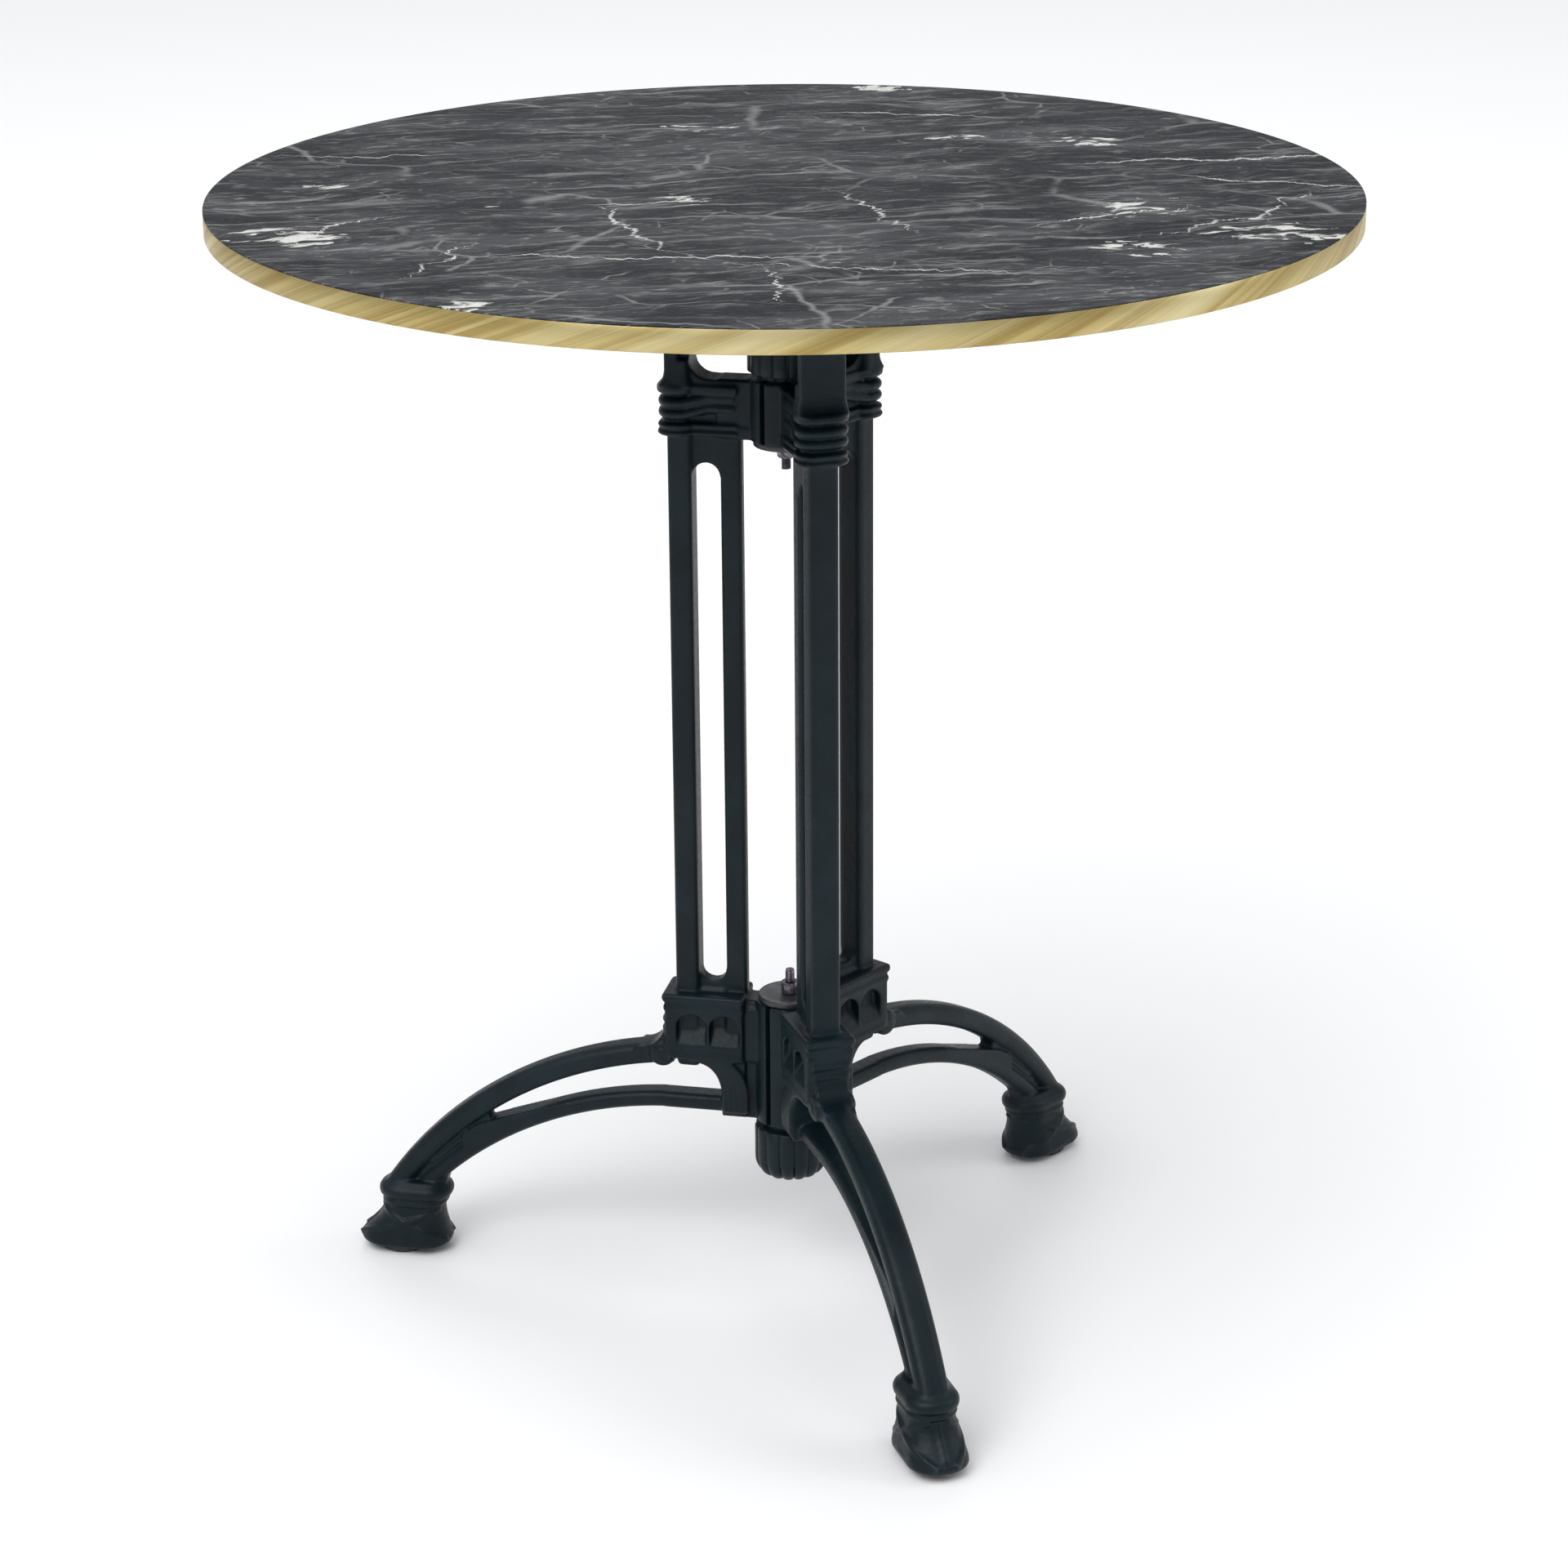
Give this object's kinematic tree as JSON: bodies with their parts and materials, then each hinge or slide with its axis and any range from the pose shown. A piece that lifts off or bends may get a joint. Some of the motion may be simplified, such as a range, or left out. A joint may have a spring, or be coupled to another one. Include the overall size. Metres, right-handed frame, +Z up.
{
  "type": "bistro table",
  "caption": "Round bistro table with a dark marble-pattern top, brass-look edge and a black cast pedestal of slotted legs that end in hoof feet.",
  "frame": {"origin": "on the floor under the middle of the top", "axes": "+Z up through the middle of the top; leg 1 points along -Y, legs 2 and 3 at 30 and 150 degrees from +X"},
  "size_m": [0.6999, 0.7, 0.73],
  "materials": {
    "marble_laminate": "satin black marble-pattern laminate with white veins and a fine grain",
    "board": "raw pressed board",
    "backing": "matt black backing laminate",
    "brass_edge": "brushed, streaks at a slant",
    "black_casting": "satin black powder coat over cast iron",
    "black_steel": "satin black",
    "plated_steel": "zinc plated",
    "black_nylon": "moulded, matt"
  },
  "bodies": {
    "frame": {"top_laminate": "marble_laminate", "top_core": "board", "backing_laminate": "backing", "edge_band": "brass_edge", "leg_frame_1": "black_casting", "leg_frame_2": "black_casting", "leg_frame_3": "black_casting", "glide_insert_1": "plated_steel", "glide_insert_2": "plated_steel", "glide_insert_3": "plated_steel", "lower_hub_cup": "black_casting", "lower_hub_plate": "black_steel", "lower_tie_bolt": "plated_steel", "lower_tie_nut": "plated_steel", "upper_hub_cup": "black_casting", "upper_hub_plate": "black_steel", "upper_tie_bolt": "plated_steel", "upper_tie_nut": "plated_steel", "top_screws": "plated_steel"},
    "pad_1": {"glide_pad_1": "black_nylon"},
    "screw_1": {"glide_screw_1": "plated_steel"},
    "pad_2": {"glide_pad_2": "black_nylon"},
    "screw_2": {"glide_screw_2": "plated_steel"},
    "pad_3": {"glide_pad_3": "black_nylon"},
    "screw_3": {"glide_screw_3": "plated_steel"}
  },
  "joints": [
    {"name": "glide_1_lift", "type": "slide", "parent": "frame", "child": "pad_1", "axis": [0, 0, -1], "range_m": [0, 0.0085]},
    {"name": "glide_1_turn", "type": "hinge", "parent": "pad_1", "child": "screw_1", "pos_m": [0, -0.267, 0.006], "axis": [0, 0, -1], "range_deg": [0, 2304]},
    {"name": "glide_2_lift", "type": "slide", "parent": "frame", "child": "pad_2", "axis": [0, 0, -1], "range_m": [0, 0.0085]},
    {"name": "glide_2_turn", "type": "hinge", "parent": "pad_2", "child": "screw_2", "pos_m": [0.23123, 0.1335, 0.006], "axis": [0, 0, -1], "range_deg": [0, 2304]},
    {"name": "glide_3_lift", "type": "slide", "parent": "frame", "child": "pad_3", "axis": [0, 0, -1], "range_m": [0, 0.0085]},
    {"name": "glide_3_turn", "type": "hinge", "parent": "pad_3", "child": "screw_3", "pos_m": [-0.23123, 0.1335, 0.006], "axis": [0, 0, -1], "range_deg": [0, 2304]}
  ],
  "couplings": [
    {"joint": "glide_1_lift", "follows": "glide_1_turn", "m_per_rad": 0.00019894},
    {"joint": "glide_2_lift", "follows": "glide_2_turn", "m_per_rad": 0.00019894},
    {"joint": "glide_3_lift", "follows": "glide_3_turn", "m_per_rad": 0.00019894}
  ]
}
